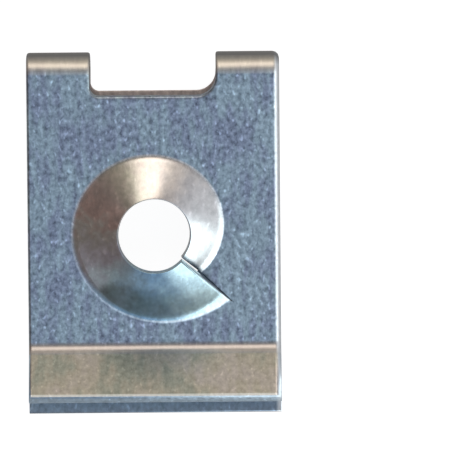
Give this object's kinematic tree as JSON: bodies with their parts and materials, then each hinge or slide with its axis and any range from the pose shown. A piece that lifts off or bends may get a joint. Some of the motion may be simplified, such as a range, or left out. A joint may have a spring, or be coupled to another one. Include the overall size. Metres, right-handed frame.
{
  "type": "u clip speed nut",
  "caption": "Folded spring-steel clip nut for a panel edge, with a pressed helical thread impression on its sprung leg and a lanced locating tongue round the clearance hole.",
  "frame": {"origin": "middle of the clip's length and width, on the outer face of the back leg that it lies on", "axes": "+X across the strip, +Y towards the fold, +Z from the back leg towards the leg with the thread impression"},
  "size_m": [0.013, 0.0185, 0.0048],
  "materials": {
    "zinc_steel": "bright zinc plate on spring steel, blue-grey with a fine spangle"
  },
  "bodies": {
    "root": {"clip": "zinc_steel"}
  },
  "joints": []
}
